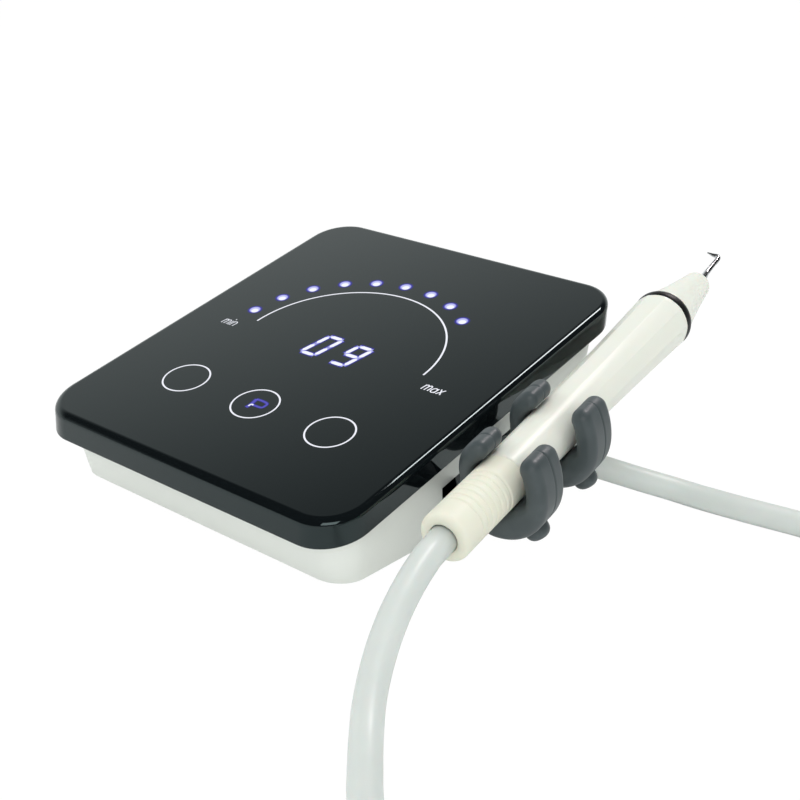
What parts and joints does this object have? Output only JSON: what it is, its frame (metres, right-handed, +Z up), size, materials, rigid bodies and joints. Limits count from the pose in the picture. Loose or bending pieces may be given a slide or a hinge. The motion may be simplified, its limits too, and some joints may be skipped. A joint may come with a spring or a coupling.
{
  "type": "ultrasonic dental scaler",
  "caption": "Table-top ultrasonic dental scaler with a sloping touch panel on a white tub, soft side hooks and a slim handpiece on a coiled hose.",
  "frame": {"origin": "centre of the box under the unit and handpiece, on the table", "axes": "+X to the right of a person at the panel, +Y away from them to the rear fittings, +Z up"},
  "size_m": [0.3569, 0.2603, 0.0611],
  "materials": {
    "panel_black": "polished",
    "shell_white": "satin",
    "foot_rubber": "matte",
    "steel": "brushed",
    "board": "satin",
    "inner_black": "matte",
    "light": "clear",
    "ribbon": "satin",
    "iron": "matte",
    "can": "satin",
    "sink": "anodised",
    "valve_plastic": "satin",
    "tube_clear": "translucent",
    "brass": "machined",
    "knob_grey": "satin",
    "plate_dark": "satin",
    "hook_rubber": "satin",
    "grommet_rubber": "satin",
    "ivory_soft": "satin",
    "ivory": "polished",
    "lip_white": "polished",
    "ring_rubber": "satin",
    "ceramic": "fired",
    "horn_metal": "machined",
    "tip_steel": "polished",
    "hose": "satin"
  },
  "bodies": {
    "base": {"top_panel": "panel_black", "tub": "shell_white", "rubber_feet": "foot_rubber", "case_screws": "steel", "display_board": "board", "display_module": "inner_black", "arc_lights": "light", "touch_pads": "inner_black", "board_screws": "steel", "board_ribbon": "ribbon", "main_board": "board", "transformer": "iron", "capacitors": "can", "heat_sink": "sink", "power_transistors": "inner_black", "water_valve": "valve_plastic", "valve_coil": "can", "valve_bracket": "steel", "inlet_tube": "tube_clear", "outlet_tube": "tube_clear", "rear_plate": "inner_black", "power_socket": "inner_black", "pedal_socket": "steel", "water_inlet": "brass", "needle_valve": "brass", "rocker_frame": "inner_black", "rocker_pin": "steel", "hook_plate": "plate_dark", "hook_screws": "steel", "front_hook": "hook_rubber", "rear_hook": "hook_rubber", "hose_grommet": "grommet_rubber", "hose_front": "hose", "hose_coil": "hose", "hose_back": "hose"},
    "handpiece": {"tail_sleeve": "ivory_soft", "handpiece_shell": "ivory", "front_lip": "lip_white", "o_ring": "ring_rubber", "nose_cone": "ivory", "tail_connector": "inner_black", "back_mass": "steel", "piezo_rings": "ceramic", "horn": "horn_metal", "scaler_tip": "tip_steel"},
    "knob": {"water_knob": "knob_grey"},
    "rocker_cap": {"rocker": "knob_grey"}
  },
  "joints": [
    {"name": "water_knob_turn", "type": "hinge", "parent": "base", "child": "knob", "pos_m": [-0.0309, 0.0294, 0.0173], "axis": [0, 1, 0], "range_deg": [0, 270]},
    {"name": "rocker_rock", "type": "hinge", "parent": "base", "child": "rocker_cap", "pos_m": [-0.0069, 0.0282, 0.0173], "axis": [1, 0, 0], "range_deg": [0, 14]},
    {"name": "handpiece_slide", "type": "slide", "parent": "base", "child": "handpiece", "axis": [-0.1088, 0.9791, 0.1719], "range_m": [0, 0.075]}
  ]
}
